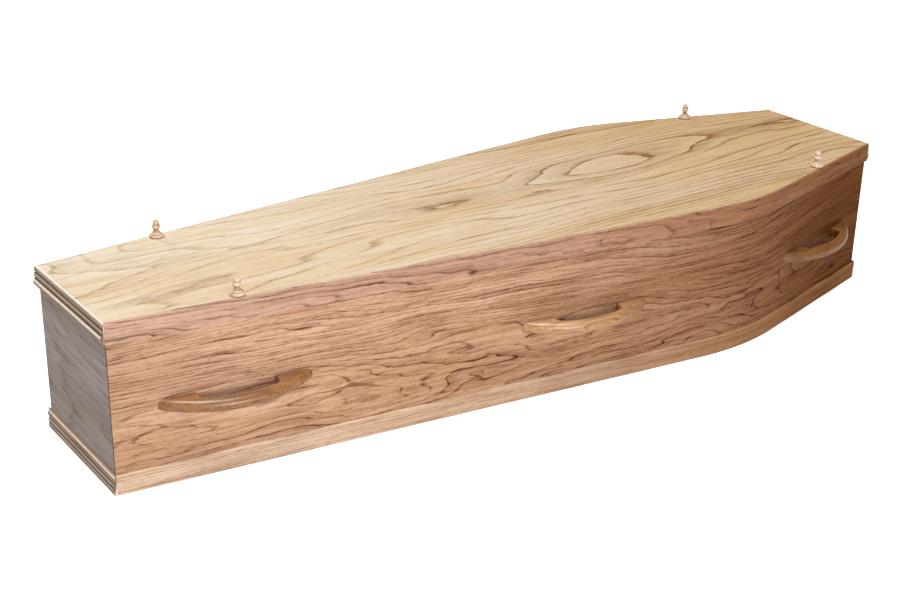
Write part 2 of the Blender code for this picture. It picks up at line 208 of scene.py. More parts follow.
def make_oak_figure():
    """Ring lines, pores, streaks and slow changes of tone from a place inside a log."""
    tree, takes, gives = new_group(
        "oak_figure", "ShaderNodeTree",
        (
            ("Place", VECTOR, None), ("Ring Spacing", FLOAT, 0.006), ("Heart Depth", FLOAT, 0.12),
            ("Heart Tilt", FLOAT, 0.05), ("Wander", FLOAT, 0.03), ("Wander Length", FLOAT, 0.5),
            ("Ripple", FLOAT, 0.004), ("Belt", FLOAT, 0.5), ("Seed", FLOAT, 1.0),
        ),
        (("Line", FLOAT), ("Pore", FLOAT), ("Streak", FLOAT), ("Tone", FLOAT)),
    )
    place, seed = takes["Place"], takes["Seed"]
    x, y, z = put(tree, "ShaderNodeSeparateXYZ", {0: place}).outputs

    # Slow wander of the heart, far longer along the grain than across it
    along = sum_up(tree, "DIVIDE", x, takes["Wander Length"])
    across = sum_up(tree, "DIVIDE", SLOW_ACROSS, takes["Wander Length"])
    stretched = put(tree, "ShaderNodeCombineXYZ", {
        0: along, 1: sum_up(tree, "MULTIPLY", y, across), 2: sum_up(tree, "MULTIPLY", z, across),
    }).outputs[0]
    slow = noise(tree, stretched, 1.0, 2.0, 0.58, seed)["Color"]
    sideways, upwards, _ = put(tree, "ShaderNodeSeparateXYZ", {0: slow}).outputs
    reach = sum_up(tree, "MULTIPLY", takes["Wander"], 2.0)
    y = sway(tree, y, sideways, reach)
    z = sway(tree, z, upwards, reach)
    z = sum_up(tree, "MULTIPLY_ADD", x, takes["Heart Tilt"], sum_up(tree, "ADD", z, takes["Heart Depth"]))
    radius = sum_up(tree, "SQRT", sum_up(tree, "MULTIPLY_ADD", y, y, sum_up(tree, "MULTIPLY", z, z)))

    # Ripples in the rings, and rings that count outwards from the heart
    radius = sway(tree, radius, noise(tree, stretched, RIPPLE_SCALE, 1.5, 0.5, seed)["Fac"], takes["Ripple"])
    radius = sway(tree, radius, noise(tree, place, JAG_SIZE, 1.0, 0.5)["Fac"], JAG_REACH)
    count = sum_up(tree, "DIVIDE", radius, takes["Ring Spacing"])
    within = sum_up(tree, "FRACT", count)
    year = sum_up(tree, "ADD", sum_up(tree, "FLOOR", count), seed)
    strength = put(tree, "ShaderNodeTexWhiteNoise", {"W": year}, noise_dimensions="1D").outputs["Value"]
    firm = sum_up(tree, "MULTIPLY_ADD", strength, 1.0 - FAINTEST_YEAR, FAINTEST_YEAR)
    belt = sum_up(tree, "SUBTRACT", 1.0, soft_step(tree, within, BELT_START, takes["Belt"]))
    rise = soft_step(tree, within, BELT_RISE, 1.0)
    line = sum_up(tree, "MULTIPLY", sum_up(tree, "MAXIMUM", belt, rise), firm)
    # Some years are dark through their whole width, which shows as a flame where the cut is shallow
    dark_year = sum_up(tree, "MULTIPLY", soft_step(tree, strength, *DARK_YEARS), SHADE_STRENGTH)
    fading = sum_up(tree, "SUBTRACT", 1.0, soft_step(tree, within, SHADE_START, 1.0))
    line = sum_up(tree, "MAXIMUM", line, sum_up(tree, "MULTIPLY", fading, dark_year))

    # Open pores as short dark dashes, and longer soft streaks, which also break up the ring lines
    dashes = {}
    for name, size, band in (("Pore", PORE_SIZE, PORE_BAND), ("Streak", STREAK_SIZE, STREAK_BAND)):
        dashes[name] = soft_step(tree, noise(tree, place, size, 1.0, 0.6, distortion=0.6)["Fac"], *band)
        tree.links.new(dashes[name], gives[name])
    broken = sum_up(tree, "MULTIPLY_ADD", dashes["Streak"], LINE_GAIN_ON_STREAKS, LINE_BETWEEN_STREAKS)
    tree.links.new(sum_up(tree, "MINIMUM", sum_up(tree, "MULTIPLY", line, broken), 1.0), gives["Line"])
    tone = noise(tree, place, TONE_SIZE, 2.0, 0.5, seed)["Fac"]
    tree.links.new(soft_step(tree, tone, *TONE_BAND), gives["Tone"])
    return tree


oak_figure = make_oak_figure()
print("oak figure group:", len(oak_figure.nodes), "nodes")

# %% [markdown]
# ## Arrises, dirt and painted shade
# Arrises take another colour than the flats beside them: sanded ones go pale, while on the panels the stain
# has gathered in a thin dark line. On the mouldings the pale sits on the shoulders that face up, so it is
# partly a painted highlight. Grooves, and the places where one part meets another, go dark: a little dirt,
# and painted shade. So each shaped piece carries a number called wear: 1 on a rounded arris, 0 on a flat, -1
# in a groove. Boards hold it at the corners of their faces, so that it ends at the arris, and the other
# pieces hold it at their points, so that it fades. This group breaks the number up with a fine noise, because
# no edge is worn evenly.

# %% Wear, grime and painted shade as a group
WEAR_GRAIN = 140.0
PATCHY_LEAST = 0.35
PATCHY_RANGE = 1.1
WORN_BAND = (0.05, 0.95)


def make_edge_wear_and_shade():
    """Masks for rubbed arrises and for grime and painted shade in grooves, from the number called wear."""
    tree, takes, gives = new_group(
        "edge_wear", "ShaderNodeTree",
        (("Place", VECTOR, None), ("Rubbed", FLOAT, 0.5), ("Dirt", FLOAT, 0.5)),
        (("Rubbed", FLOAT), ("Dirt", FLOAT)),
    )
    number = put(tree, "ShaderNodeAttribute", attribute_name="wear").outputs["Fac"]
    patchy = noise(tree, takes["Place"], WEAR_GRAIN, 3.0, 0.6)["Fac"]
    patchy = sum_up(tree, "MULTIPLY_ADD", patchy, PATCHY_RANGE, PATCHY_LEAST)
    # Above 0 the number marks rubbed arrises, on the mouldings partly a painted highlight; below 0 it marks
    # grime and painted shade in grooves and where parts meet
    for label, sign in (("Rubbed", 1.0), ("Dirt", -1.0)):
        side = soft_step(tree, sum_up(tree, "MULTIPLY", number, sign), *WORN_BAND)
        share = sum_up(tree, "MULTIPLY", side, sum_up(tree, "MULTIPLY", patchy, takes[label]))
        tree.links.new(sum_up(tree, "MINIMUM", share, 1.0), gives[label])
    return tree


edge_wear = make_edge_wear_and_shade()
print("edge wear group:", len(edge_wear.nodes), "nodes")

# %% [markdown]
# ## The oak finishes
# Every visible board is the same timber under a thin satin finish, but each was cut from another place in the
# log, so colour, ring spacing and figure differ: the lid is pale, the sides are pinkish brown, the strips are
# straight-grained. The ends are greyer and darker partly as painted shade, because they stand in shade. One
# function turns a short list of values into a material. Fixed numbers sit on the shader's own sockets, and
# everything that varies comes from the groups. Towards the head a finish may drift to a darker, warmer
# colour, which is mostly painted shade where the light falls off along the box, and the handles have a paler
# one near the waist.

# %% A function that makes an oak finish
PORE_RELIEF = 0.00022
DIRT_AND_SHADE_DEPTH = 0.10
DIRT_ROUGHNESS = 0.25
RING_ROUGHNESS = 0.24
TONE_ROUGHNESS = 0.08
RING_HEIGHT = 0.35
PORES_BETWEEN_RINGS = 0.3
COPY_ALONG = 0.371
COPY_ACROSS = 0.0031
TURNS = {
    "lying": (0.0, 0.0, 0.0),
    "standing along": (math.radians(90), 0.0, 0.0),
    "standing across": (math.radians(90), 0.0, math.radians(90)),
}
# A bent side stays one flat cut of the log, so depth counts for little on it
FLAT_CUT = (1.0, 1.0, 9.0)
SOLID_CUT = (1.0, 1.0, 1.0)
HEAD_END = 0.95
WAIST_FROM = -0.40
WAIST_FULL = -0.15
WAIST_FADE = -0.05
WAIST_TO = 0.30


def oak_finish(
    name, pale, deep, line_tint, head_shade_colour, *, turn="lying", offset=(0, 0, 0), own_place=False,
    cut=SOLID_CUT, spacing=0.006, depth=0.12, tilt=0.05, wander=0.03, length=0.5, ripple=0.004,
    belt=0.5, seed=1.0, line_share=0.6, head_lines=None, pore_share=0.35, streak_share=0.3,
    head_from=-0.05, head_shade_share=0.0, waist=None, waist_share=0.0, rubbed=0.4, dirt_and_shade=0.5,
    rubbed_colour=(0.80, 0.62, 0.45), roughness=0.46, gloss=0.30, relief=0.5,
):
    """A Principled oak finish: figure, pores, worn arrises, grime and painted shade in grooves, painted shade
    headwards.
    """
    finish = bpy.data.materials.new(name)
    finish.use_nodes = True
    tree = finish.node_tree
    shader = tree.nodes["Principled BSDF"]
    if own_place:
        place = put(tree, "ShaderNodeAttribute", attribute_name="own_place").outputs["Vector"]
        number = put(tree, "ShaderNodeAttribute", attribute_name="copy_number").outputs["Fac"]
        apart = put(tree, "ShaderNodeCombineXYZ", {
            0: sum_up(tree, "MULTIPLY", number, COPY_ALONG), 1: 0.0,
            2: sum_up(tree, "MULTIPLY", number, COPY_ACROSS),
        }).outputs[0]
        place = put(tree, "ShaderNodeVectorMath", {0: place, 1: apart}, operation="ADD").outputs[0]
    else:
        place = put(tree, "ShaderNodeTexCoord").outputs["Object"]
    # A texture-type Mapping undoes its turn, which brings the grain back to X
    board = put(tree, "ShaderNodeMapping", {
        "Vector": place, "Location": offset, "Rotation": TURNS[turn], "Scale": cut,
    }, vector_type="TEXTURE").outputs[0]
    figure = put(tree, "ShaderNodeGroup", node_tree=oak_figure)
    tree.links.new(board, figure.inputs["Place"])
    for label, value in (
        ("Ring Spacing", spacing), ("Heart Depth", depth), ("Heart Tilt", tilt), ("Wander", wander),
        ("Wander Length", length), ("Ripple", ripple), ("Belt", belt), ("Seed", seed),
    ):
        figure.inputs[label].default_value = value
    rings, pores, streaks, tone = [figure.outputs[label] for label in ("Line", "Pore", "Streak", "Tone")]
    wear = put(tree, "ShaderNodeGroup", node_tree=edge_wear)
    tree.links.new(place, wear.inputs["Place"])
    wear.inputs["Rubbed"].default_value = rubbed
    wear.inputs["Dirt"].default_value = dirt_and_shade

    colour = blend(tree, tone, pale, deep)
    # Painted shade: the colour darkens and warms towards the head, where the light falls off
    x = put(tree, "ShaderNodeSeparateXYZ", {0: put(tree, "ShaderNodeTexCoord").outputs["Object"]}).outputs[0]
    along = soft_step(tree, x, head_from, HEAD_END)
    colour = blend(tree, sum_up(tree, "MULTIPLY", along, head_shade_share), colour, head_shade_colour)
    if waist is not None:
        rising = soft_step(tree, x, WAIST_FROM, WAIST_FULL)
        middle = sum_up(tree, "SUBTRACT", rising, soft_step(tree, x, WAIST_FADE, WAIST_TO))
        colour = blend(tree, sum_up(tree, "MULTIPLY", middle, waist_share), colour, waist)
    if head_lines is not None:
        line_share = sum_up(tree, "MULTIPLY_ADD", along, head_lines - line_share, line_share)
    on_rings = sum_up(tree, "MULTIPLY_ADD", rings, 1.0 - PORES_BETWEEN_RINGS, PORES_BETWEEN_RINGS)
    open_pores = sum_up(tree, "MULTIPLY", pores, on_rings)
    for mark, share, tint in (
        (streaks, streak_share, deep), (rings, line_share, line_tint), (open_pores, pore_share, line_tint),
    ):
        colour = blend(tree, sum_up(tree, "MULTIPLY", mark, share), colour, tint, "MULTIPLY")
    worn, dirt_and_shade_mask = wear.outputs["Rubbed"], wear.outputs["Dirt"]
    colour = blend(tree, worn, colour, rubbed_colour)
    # Grooves and meeting places go very dark: a little grime, and painted shade
    colour = blend(tree, dirt_and_shade_mask, colour, tuple(value * DIRT_AND_SHADE_DEPTH for value in deep))
    tree.links.new(colour, shader.inputs["Base Color"])

    dull = roughness
    for mark, change in ((tone, TONE_ROUGHNESS), (rings, relief * RING_ROUGHNESS), (dirt_and_shade_mask, DIRT_ROUGHNESS)):
        dull = sum_up(tree, "MULTIPLY_ADD", mark, change, dull)
    tree.links.new(dull, shader.inputs["Roughness"])
    height = sum_up(tree, "MULTIPLY_ADD", open_pores, -1.0, sum_up(tree, "MULTIPLY", rings, -RING_HEIGHT))
    bump = put(tree, "ShaderNodeBump", {"Height": height, "Strength": relief, "Distance": PORE_RELIEF})
    tree.links.new(bump.outputs["Normal"], shader.inputs["Normal"])
    shader.inputs["Specular IOR Level"].default_value = gloss
    return finish


print("oak finishes can be cut", ", ".join(TURNS))

# %% [markdown]
# The four colours of each finish are its pale wood, its deep wood, the tint of its ring lines and the painted
# shade it darkens to at the head. After them come the way the board was cut from the log, the strength of
# each mark, and the arrises. Lengths are in metres, and the rest are shares.

# %% The finishes themselves
finishes = {
    "lid": oak_finish(
        "pale_lid_oak",
        (0.76, 0.67, 0.55), (0.70, 0.555, 0.37), (0.44, 0.30, 0.15), (0.52, 0.32, 0.135),
        offset=(0, 0.05, 0), spacing=0.0085, depth=0.13, tilt=0.012, wander=0.060, length=1.15,
        ripple=0.005, belt=0.19, seed=3.1, line_share=0.55, head_lines=1.35, pore_share=0.45,
        streak_share=0.32, head_from=-0.85, head_shade_share=0.74, rubbed=0.8, rubbed_colour=(0.92, 0.85, 0.76),
    ),
    "side": oak_finish(
        "pink_brown_side_oak",
        (0.61, 0.395, 0.262), (0.475, 0.28, 0.165), (0.27, 0.155, 0.10), (0.160, 0.047, 0.001),
        turn="standing along", cut=FLAT_CUT, offset=(0, 0, 0.10), spacing=0.0062, depth=0.080, tilt=0.012,
        wander=0.046, length=0.62, ripple=0.011, belt=0.19, seed=7.4, line_share=1.0, pore_share=0.75,
        streak_share=0.40, head_from=-0.36, head_shade_share=0.98, rubbed=1.0, rubbed_colour=(0.05, 0.025, 0.015),
        gloss=0.03,
    ),
    # The ends' greyer, darker colour is partly painted shade: they stand in shade
    "end": oak_finish(
        "shaded_end_oak",
        (0.42, 0.345, 0.315), (0.35, 0.285, 0.255), (0.46, 0.40, 0.37), (0.34, 0.23, 0.16),
        turn="standing across", offset=(0, 0, 0.1), spacing=0.006, depth=0.10, tilt=0.04, wander=0.012,
        length=0.6, ripple=0.005, belt=0.3, seed=5.5, line_share=0.40, pore_share=0.3, streak_share=0.3,
        rubbed=1.0, rubbed_colour=(0.05, 0.03, 0.02), gloss=0.15,
    ),
    "lid strip": oak_finish(
        "reddish_lid_strip_oak",
        (0.72, 0.515, 0.41), (0.54, 0.345, 0.25), (0.30, 0.18, 0.125), (0.235, 0.078, 0.004),
        turn="standing along", cut=FLAT_CUT, offset=(0, 0, 0.29), spacing=0.0056, depth=0.05, tilt=0.02,
        wander=0.022, length=0.60, ripple=0.010, belt=0.22, seed=12.6, line_share=1.2, head_lines=0.6,
        pore_share=0.65, streak_share=0.35, head_from=-0.92, head_shade_share=0.97, rubbed=0.15, gloss=0.15,
    ),
    "base strip": oak_finish(
        "straight_base_strip_oak",
        (0.69, 0.52, 0.395), (0.60, 0.43, 0.295), (0.42, 0.29, 0.19), (0.25, 0.092, 0.006),
        turn="standing along", cut=FLAT_CUT, offset=(0, 0, -0.2), spacing=0.0052, depth=0.05, tilt=0.010,
        wander=0.016, length=0.5, ripple=0.005, belt=0.20, seed=2.3, line_share=0.95, pore_share=0.6,
        streak_share=0.35, head_from=-0.68, head_shade_share=0.97, rubbed=0.2, gloss=0.15,
    ),
    "moulding": oak_finish(
        "brown_moulding_oak",
        (0.40, 0.28, 0.19), (0.32, 0.21, 0.135), (0.44, 0.35, 0.28), (0.26, 0.15, 0.07),
        turn="standing across", spacing=0.004, depth=0.05, tilt=0.02, wander=0.01, length=0.5, ripple=0.003,
        seed=9.0, line_share=0.45, pore_share=0.35, head_shade_share=0.5, rubbed=1.0, dirt_and_shade=0.9,
        rubbed_colour=(0.94, 0.81, 0.68),
    ),
    "handle": oak_finish(
        "golden_handle_oak",
        (0.37, 0.18, 0.072), (0.25, 0.112, 0.041), (0.28, 0.19, 0.13), (0.21, 0.080, 0.014),
        own_place=True, turn="standing along", offset=(0, 0.10, 0), spacing=0.0034, depth=0.06, tilt=0.03,
        wander=0.006, length=0.3, ripple=0.0016, belt=0.4, seed=4.2, line_share=0.62, pore_share=0.3,
        head_from=-0.30, head_shade_share=0.9, waist=(0.51, 0.29, 0.14), waist_share=0.95,
        rubbed=0.2, rubbed_colour=(0.60, 0.42, 0.27), roughness=0.30, gloss=0.60, relief=0.12,
    ),
    # The finials' deep dark grooves are mostly painted shade
    "finial": oak_finish(
        "pale_turned_wood",
        (0.74, 0.56, 0.41), (0.62, 0.44, 0.30), (0.46, 0.34, 0.26), (0.60, 0.42, 0.29),
        own_place=True, turn="standing along", spacing=0.0022, depth=0.02, tilt=0.05, wander=0.002,
        length=0.1, ripple=0.0006, seed=6.6, line_share=0.40, pore_share=0.15, rubbed=0.3, dirt_and_shade=1.8,
        roughness=0.34,
    ),
    "floor board": oak_finish(
        "plain_floor_board",
        (0.56, 0.42, 0.29), (0.46, 0.33, 0.22), (0.55, 0.45, 0.38), (0.5, 0.36, 0.25),
        spacing=0.006, depth=0.12, wander=0.02, seed=8.8, line_share=0.4, roughness=0.62,
    ),
}
print("finishes:", ", ".join(finishes))

# %% [markdown]
# ## The plan of the box
# Both long sides are one straight run from the foot, a bend round the shoulder, and a straight run to the
# head. Everything that follows the side is this line moved outwards or inwards, so one function gives the
# line and every piece asks for its own offset. The bend is an arc, cut finer than in the solids, so that it
# shades round.

# %% The line of a side
HALF_LENGTH = 0.950
FOOT = Vector((-HALF_LENGTH, -0.151))
SHOULDER = Vector((0.447, -0.306))
HEAD = Vector((HALF_LENGTH, -0.160))
SHOULDER_RADIUS = 0.580
SHOULDER_STEPS = 40
FULL_HEIGHT = 0.338
BOARD = 0.018
GLUE_GAP = 0.0003
MITRE_SLACK = 0.00045
LID_OVERHANG = 0.0010
PANEL_TOP = FULL_HEIGHT - BOARD - GLUE_GAP


def side_line(out, past_end):
    """Plan of the near side from foot to head, moved out of the box, with its ends past the box."""
    foot_run = (SHOULDER - FOOT).normalized()
    head_run = (HEAD - SHOULDER).normalized()
    foot_normal = Vector((foot_run.y, -foot_run.x))
    head_normal = Vector((head_run.y, -head_run.x))
    bend = foot_run.angle(head_run)
    centre = SHOULDER - foot_run * SHOULDER_RADIUS * math.tan(bend / 2) - foot_normal * SHOULDER_RADIUS
    start_angle = math.atan2(foot_normal.y, foot_normal.x)

    def at_x(corner, run, normal, x):
        start = corner + normal * out
        return start + run * ((x - start.x) / run.x)

    points = [at_x(FOOT, foot_run, foot_normal, -HALF_LENGTH - past_end)]
    for step in range(SHOULDER_STEPS + 1):
        angle = start_angle + bend * step / SHOULDER_STEPS
        points.append(centre + (SHOULDER_RADIUS + out) * Vector((math.cos(angle), math.sin(angle))))
    points.append(at_x(HEAD, head_run, head_normal, HALF_LENGTH + past_end))
    return points


def mirrored(points):
    """The same plan on the far side."""
    return [Vector((point.x, -point.y)) for point in points]


panel_line = side_line(0, 0)
widest = -2 * min(point.y for point in panel_line)
print("side line:", len(panel_line), "points, widest", round(widest, 4), "m")

# %% [markdown]
# ## A tree that saws boards
# A board is its outline given a thickness. It could be drawn vertex by vertex, but a geometry tree shows the
# rule: fill the outline, push the face up by the thickness, close the underside with the same face turned
# over, weld, and lift the board to its level. One tree cuts the lid and all four panels.

# %% The board tree
WELD = 0.000001


def give_out(tree, shape, finish, way_out):
    """End a tree: copies made real, in the finish asked for."""
    plain = put(tree, "GeometryNodeRealizeInstances", {0: shape}).outputs[0]
    done = put(tree, "GeometryNodeSetMaterial", {"Geometry": plain, "Material": finish}).outputs[0]
    tree.links.new(done, way_out)


def make_board_tree():
    """Outline in, closed board out."""
    tree, takes, gives = new_group(
        "board_from_outline", "GeometryNodeTree",
        (
            ("Outline", SHAPE, None), ("Bottom", FLOAT, 0.0), ("Thickness", FLOAT, 0.018),
            ("Finish", FINISH, None),
        ),
        (("Board", SHAPE),),
    )
    curve = put(tree, "GeometryNodeMeshToCurve", {0: takes["Outline"]})
    face = put(tree, "GeometryNodeFillCurve", {0: curve.outputs[0]}, mode="NGONS").outputs[0]
    raised = put(tree, "GeometryNodeExtrudeMesh", {
        "Mesh": face, "Offset Scale": takes["Thickness"], "Individual": False,
    }).outputs[0]
    underside = put(tree, "GeometryNodeFlipFaces", {0: face}).outputs[0]
    join = put(tree, "GeometryNodeJoinGeometry")
    tree.links.new(raised, join.inputs[0])
    tree.links.new(underside, join.inputs[0])
    welded = put(tree, "GeometryNodeMergeByDistance", {
        "Geometry": join.outputs[0], "Distance": WELD,
    }).outputs[0]
    lift = put(tree, "ShaderNodeCombineXYZ", {2: takes["Bottom"]}).outputs[0]
    lifted = put(tree, "GeometryNodeSetPosition", {"Geometry": welded, "Offset": lift}).outputs[0]
    give_out(tree, lifted, takes["Finish"], gives["Board"])
    return tree


def drawn_line(name, points, level=0.0, closed=True):
    """A chain of edges through the points, which a tree takes as its outline or path."""
    mesh = bpy.data.meshes.new(name)
    places = [(point[0], point[1], level) for point in points]
    last = len(places) if closed else len(places) - 1
    mesh.from_pydata(places, [(step, (step + 1) % len(places)) for step in range(last)], [])
    return mesh


def plain_mesh(holder):
    """The mesh that an object's modifiers make; the object itself goes."""
    bpy.context.view_layer.update()
    result = bpy.data.meshes.new_from_object(holder.evaluated_get(bpy.context.evaluated_depsgraph_get()))
    bpy.data.objects.remove(holder, do_unlink=True)
    return result


def run_tree(name, start, tree, values):
    """Run a tree on a start mesh and give back its result as a plain mesh."""
    holder = add_object(name, start)
    modifier = holder.modifiers.new(tree.name, "NODES")
    modifier.node_group = tree
    for item in tree.interface.items_tree:
        if item.in_out == "INPUT" and item.name in values:
            modifier[item.identifier] = values[item.name]
    result = plain_mesh(holder)
    bpy.data.meshes.remove(start)
    result.name = name
    return result


board_tree = make_board_tree()
print("board tree:", len(board_tree.nodes), "nodes")

# %% [markdown]
# ## Rounding arrises
# No real arris is a perfect knife edge: sandpaper takes off half a millimetre, and that narrow curve catches
# the light as a line of its own. A Bevel modifier would do, but bevelling in code also tells us which faces
# are new, so the same step writes the wear number there. Where a mitre leaves a thin lip, rounding would eat
# it away, so a lip only gets one narrow flat. Slivers with no area go at the end.

# %% Round the arrises and write the wear number
SHARP_FROM = math.radians(30)
MITRE_FROM = math.radians(100)
MITRE_EASE = 0.0009
CRISP_FROM = 38
ON_THE_CUT = 1e-7


def open_mesh(mesh):
    """The mesh opened for editing."""
    work = bmesh.new()
    work.from_mesh(mesh)
    return work


def close_mesh(work, mesh, crisp_from=CRISP_FROM):
    """Write an edited mesh back with its faces outwards, round parts smooth and arrises crisp."""
    bmesh.ops.recalc_face_normals(work, faces=work.faces)
    work.to_mesh(mesh)
    work.free()
    mesh.shade_smooth()
    mesh.set_sharp_from_angle(angle=math.radians(crisp_from))


def round_arrises(mesh, width, steps):
    """Ease the thin lips of a mitre flat, round the other convex sharp edges, and mark the new faces worn."""
    work = open_mesh(mesh)
    wear = work.loops.layers.float.new("wear")
    lips = (MITRE_FROM, math.pi, MITRE_EASE, 1)
    arrises = (SHARP_FROM, MITRE_FROM, width, steps)
    for low, high, offset, segments in (lips, arrises):
        edges = [edge for edge in work.edges
                 if len(edge.link_faces) == 2 and low < edge.calc_face_angle_signed(0.0) <= high
                 and not any(face.tag for face in edge.link_faces)]
        made = bmesh.ops.bevel(
            work, geom=edges, offset=offset, offset_type="OFFSET", segments=segments, profile=0.5,
            affect="EDGES", clamp_overlap=True, material=-1,
        )
        for face in made["faces"]:
            face.tag = segments == 1
            for loop in face.loops:
                loop[wear] = 1.0
    bmesh.ops.dissolve_degenerate(work, edges=work.edges, dist=WELD)
    close_mesh(work, mesh)


def cut_off(mesh, point, normal):
    """Saw away what lies on the normal's side of a plane and close the cut."""
    work = open_mesh(mesh)
    cut = bmesh.ops.bisect_plane(
        work, geom=list(work.verts) + list(work.edges) + list(work.faces),
        dist=ON_THE_CUT, plane_co=point, plane_no=normal, clear_outer=True,
    )
    rim = [item for item in cut["geom_cut"] if isinstance(item, bmesh.types.BMEdge)]
    bmesh.ops.edgenet_fill(work, edges=rim)
    close_mesh(work, mesh)


def weigh_normals(mesh):
    """Let the large faces decide how a rounded piece shades, so that flats stay flat beside their arrises."""
    holder = add_object(mesh.name, mesh)
    weigh = holder.modifiers.new("large faces first", "WEIGHTED_NORMAL")
    weigh.mode = "FACE_AREA"
    weigh.keep_sharp = True
    return plain_mesh(holder)


def fit(name, mesh, slot, *nodes):
    """Put a finished piece in the scene in place of the solids it stands for."""
    mesh = weigh_normals(mesh)
    mesh.name = name
    piece = add_object(name, mesh)
    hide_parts(*nodes)
    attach(piece, "root")
    print(f"{name}: {len(mesh.polygons)} faces, stands for {', '.join(nodes)}")


print("ready to round arrises, saw ends flush and fit pieces")

# %% [markdown]
# ## Boards
# The lid is one flat board cut to the plan, a millimetre past each end. The sides are bent boards mitred to
# the ends at the corners, so no end grain shows. The floor is out of sight between them, so its solid stays
# as it is and only gets its finish. Each panel's arrises are rounded by half a millimetre. The lid is planed
# flush with the strips and mouldings round it, so its own arrises are finer.

# %% Saw the boards
PANEL_ARRIS = 0.0005
LID_ARRIS = 0.0003
ARRIS_STEPS = 3


def saw_board(name, outline, bottom, top, finish, slot, arris):
    """Cut one board with the tree, round its arrises and fit it over its solid."""
    mesh = run_tree(name, drawn_line(name, outline), board_tree,
                    {"Bottom": bottom, "Thickness": top - bottom, "Finish": finishes[finish]})
    round_arrises(mesh, arris, ARRIS_STEPS)
    fit(f"{name}_oak", mesh, slot, name)


lid_plan = side_line(0, LID_OVERHANG)
saw_board("lid_board", lid_plan + mirrored(lid_plan)[::-1], FULL_HEIGHT - BOARD, FULL_HEIGHT,
          "lid", "lid_oak", LID_ARRIS)
inner_line = side_line(-BOARD, -BOARD)
side_plan = panel_line + inner_line[::-1]
saw_board("side_panel_left", side_plan, 0, PANEL_TOP, "side", "side_oak", PANEL_ARRIS)
saw_board("side_panel_right", mirrored(side_plan), 0, PANEL_TOP, "side", "side_oak", PANEL_ARRIS)
for name, index in (("foot_panel", 0), ("head_panel", -1)):
    corners = [Vector((line[index].x, line[index].y + MITRE_SLACK)) for line in (panel_line, inner_line)]
    saw_board(name, corners + mirrored(corners)[::-1], 0, PANEL_TOP, "end", "end_oak", PANEL_ARRIS)

floor_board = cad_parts["base_board"]
for slot in floor_board.material_slots:
    slot.material = finishes["floor board"]
print("floor board keeps its solid, with", len(floor_board.material_slots), "finish slot")

# %% [markdown]
# ## Strips and mouldings
# A flat strip runs along each long side at the lid and at the base, and a beaded moulding crosses each end.
# On the bench each is a length of stock with one section, bent or laid along the edge, then sawn flush. A
# tree does the same: it sweeps a drawn section along a path. The section's points carry the wear number, and
# the sweep hands it on, so beads are pale on their crests, partly as a painted highlight, and dark in their
# grooves, as dirt and painted shade.

# %% The sweeping tree
def make_sweep_tree():
    """Path in, stock swept along it out; the section's first axis points out of the box."""
    tree, takes, gives = new_group(
        "stock_along_path", "GeometryNodeTree",
        (("Path", SHAPE, None), ("Section", OBJECT, None), ("Finish", FINISH, None)),
        (("Stock", SHAPE),),
    )
    path = put(tree, "GeometryNodeMeshToCurve", {0: takes["Path"]}).outputs[0]
    path = put(tree, "GeometryNodeSetCurveNormal", {0: path}, mode="Z_UP").outputs[0]
    drawn = put(tree, "GeometryNodeObjectInfo", {"Object": takes["Section"]}).outputs["Geometry"]
    section = put(tree, "GeometryNodeMeshToCurve", {0: drawn}).outputs[0]
    stock = put(tree, "GeometryNodeCurveToMesh", {
        "Curve": path, "Profile Curve": section, "Fill Caps": True,
    }).outputs[0]
    give_out(tree, stock, takes["Finish"], gives["Stock"])
    return tree


def section_object(name, points):
    """A closed section from (out, level, wear) points; levels run down, because the sweep turns them over."""
    mesh = drawn_line(name, [(out, -level) for out, level, _ in points])
    numbers = mesh.attributes.new("wear", "FLOAT", "POINT")
    for item, (_, _, number) in zip(numbers.data, points):
        item.value = number
    return add_object(name, mesh)


def sweep(name, section, path, level, finish):
    """Sweep a section along a path at a level, and give back the plain mesh."""
    mesh = run_tree(name, drawn_line(name, path, level, closed=False), sweep_tree,
                    {"Section": section, "Finish": finishes[finish]})
    work = open_mesh(mesh)
    bmesh.ops.remove_doubles(work, verts=work.verts, dist=WELD)
    close_mesh(work, mesh)
    return mesh


sweep_tree = make_sweep_tree()
print("sweeping tree:", len(sweep_tree.nodes), "nodes")

# %% [markdown]
# The side strips are plain laths. Their top arris is eased with a plane, so it is well rounded, and the lower
# one only with sandpaper. Each is swept with a little spare at both ends and then sawn flush with the end of
# the box.

# %% Side strips
LID_STRIP = (0.043, 0.0040)
BASE_STRIP = (0.040, 0.0050)
TOP_EASE, TOP_STEPS, TOP_WEAR = 0.0030, 6, 0.7
LOWER_EASE, LOWER_STEPS, LOWER_WEAR = 0.0007, 3, 0.8
SPARE = 0.012


def corner_arc(centre_out, centre_level, radius, start, turn, steps, number):
    """Points round an eased corner of a section, with the wear number highest in the middle."""
    points = []
    for step in range(steps + 1):
        angle = math.radians(start + turn * step / steps)
        away, up = radius * math.cos(angle), radius * math.sin(angle)
        points.append((centre_out + away, centre_level + up, number * math.sin(math.pi * step / steps)))
    return points


def strip_section(height, thickness):
    """A flat strip with a well eased top arris and a lightly eased lower one, from the glue line outwards."""
    points = [(0, height, 0.0), (0, 0, 0.0)]
    points += corner_arc(thickness - LOWER_EASE, LOWER_EASE, LOWER_EASE, -90, 90, LOWER_STEPS, LOWER_WEAR)
    points += corner_arc(thickness - TOP_EASE, height - TOP_EASE, TOP_EASE, 0, 90, TOP_STEPS, TOP_WEAR)
    return points


